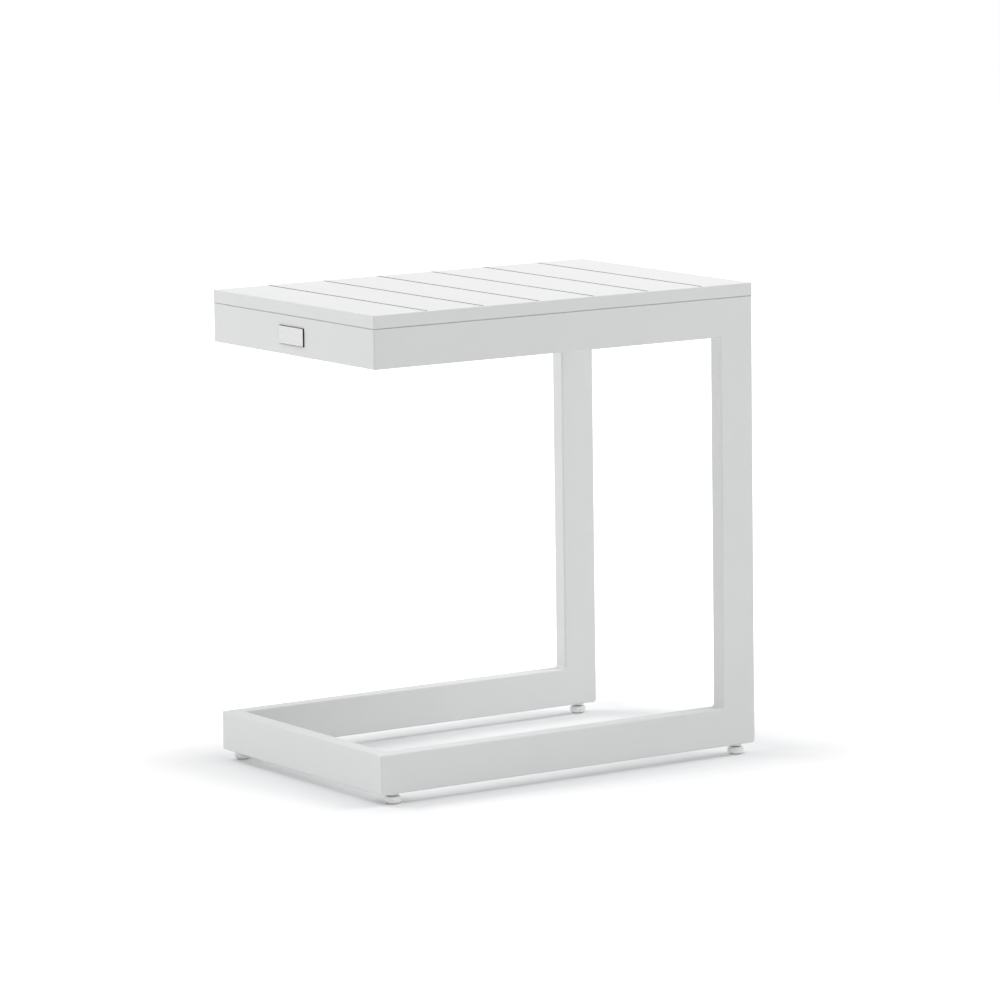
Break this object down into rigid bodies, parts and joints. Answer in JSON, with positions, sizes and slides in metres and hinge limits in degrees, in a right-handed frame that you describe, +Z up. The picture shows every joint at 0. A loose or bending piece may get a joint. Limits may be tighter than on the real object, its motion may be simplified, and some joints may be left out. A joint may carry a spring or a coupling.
{
  "type": "side table",
  "caption": "C-shaped white metal side table: slatted rectangular top on an open cantilever frame of flat tube that slides around a seat, with screw-adjusted levelling feet.",
  "frame": {"origin": "on the floor under the middle of the table, the pads' undersides at z = 0", "axes": "+X from the open front end, which carries the plate, to the two legs; +Y to the left side; +Z up"},
  "size_m": [0.5116, 0.342, 0.545],
  "materials": {
    "frame_coat": "white powder coat, fine satin texture",
    "slat_coat": "white powder coat, fine satin texture",
    "plate_metal": "bare, finely brushed",
    "zinc_steel": "bright zinc plating",
    "pad_plastic": "white moulded plastic, satin"
  },
  "bodies": {
    "table_frame": {"right_apron": "frame_coat", "left_apron": "frame_coat", "right_leg": "frame_coat", "left_leg": "frame_coat", "right_base_rail": "frame_coat", "left_base_rail": "frame_coat", "front_apron": "frame_coat", "front_base_rail": "frame_coat", "rear_apron": "frame_coat", "right_cleat": "frame_coat", "left_cleat": "frame_coat", "slat_1": "slat_coat", "slat_2": "slat_coat", "slat_3": "slat_coat", "slat_4": "slat_coat", "slat_5": "slat_coat", "slat_6": "slat_coat", "slat_7": "slat_coat", "right_edge_strip": "slat_coat", "left_edge_strip": "slat_coat", "front_plate": "plate_metal", "right_foot_inserts": "pad_plastic", "left_foot_inserts": "pad_plastic"},
    "front_right_stud": {"foot_stud_front_right": "zinc_steel"},
    "front_right_pad": {"foot_pad_front_right": "pad_plastic"},
    "front_left_stud": {"foot_stud_front_left": "zinc_steel"},
    "front_left_pad": {"foot_pad_front_left": "pad_plastic"},
    "rear_right_stud": {"foot_stud_rear_right": "zinc_steel"},
    "rear_right_pad": {"foot_pad_rear_right": "pad_plastic"},
    "rear_left_stud": {"foot_stud_rear_left": "zinc_steel"},
    "rear_left_pad": {"foot_pad_rear_left": "pad_plastic"}
  },
  "joints": [
    {"name": "front_right_foot_rise", "type": "slide", "parent": "table_frame", "child": "front_right_stud", "axis": [0, 0, -1], "range_m": [-0.001, 0.01]},
    {"name": "front_right_foot_turn", "type": "hinge", "parent": "front_right_stud", "child": "front_right_pad", "pos_m": [-0.234, -0.161, 0.0043], "axis": [0, 0, -1], "range_deg": [-289, 2881]},
    {"name": "front_left_foot_rise", "type": "slide", "parent": "table_frame", "child": "front_left_stud", "axis": [0, 0, -1], "range_m": [-0.001, 0.01]},
    {"name": "front_left_foot_turn", "type": "hinge", "parent": "front_left_stud", "child": "front_left_pad", "pos_m": [-0.234, 0.161, 0.0043], "axis": [0, 0, -1], "range_deg": [-289, 2881]},
    {"name": "rear_right_foot_rise", "type": "slide", "parent": "table_frame", "child": "rear_right_stud", "axis": [0, 0, -1], "range_m": [-0.001, 0.01]},
    {"name": "rear_right_foot_turn", "type": "hinge", "parent": "rear_right_stud", "child": "rear_right_pad", "pos_m": [0.234, -0.161, 0.0043], "axis": [0, 0, -1], "range_deg": [-289, 2881]},
    {"name": "rear_left_foot_rise", "type": "slide", "parent": "table_frame", "child": "rear_left_stud", "axis": [0, 0, -1], "range_m": [-0.001, 0.01]},
    {"name": "rear_left_foot_turn", "type": "hinge", "parent": "rear_left_stud", "child": "rear_left_pad", "pos_m": [0.234, 0.161, 0.0043], "axis": [0, 0, -1], "range_deg": [-289, 2881]}
  ],
  "couplings": [
    {"joint": "front_right_foot_turn", "follows": "front_right_foot_rise", "rad_per_m": 5026.5},
    {"joint": "front_left_foot_turn", "follows": "front_left_foot_rise", "rad_per_m": 5026.5},
    {"joint": "rear_right_foot_turn", "follows": "rear_right_foot_rise", "rad_per_m": 5026.5},
    {"joint": "rear_left_foot_turn", "follows": "rear_left_foot_rise", "rad_per_m": 5026.5}
  ]
}
